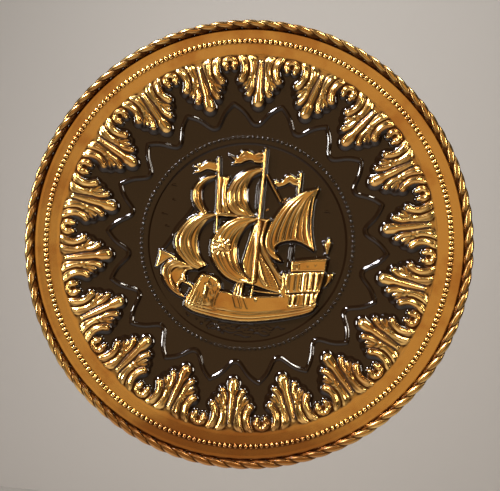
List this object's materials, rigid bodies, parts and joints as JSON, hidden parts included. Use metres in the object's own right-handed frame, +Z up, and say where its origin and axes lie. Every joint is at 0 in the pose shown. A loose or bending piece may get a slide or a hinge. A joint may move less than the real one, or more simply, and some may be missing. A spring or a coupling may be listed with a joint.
{
  "type": "decorative wall plaque",
  "caption": "Round dished wall plaque of pressed copper alloy with a ship medallion, leaf border, beaded rings and a rope-twist edge on a black enamel ground.",
  "frame": {"origin": "middle of the flat back of the medallion, where the plaque bears on the wall", "axes": "+Z up the wall, +X to the viewer's right, +Y into the wall; the decorated front faces -Y"},
  "size_m": [0.36, 0.0192, 0.36],
  "materials": {
    "pressed_copper": "polished and lacquered copper alloy, with glossy black enamel in the ground"
  },
  "bodies": {
    "root": {"plaque": "pressed_copper"}
  },
  "joints": []
}
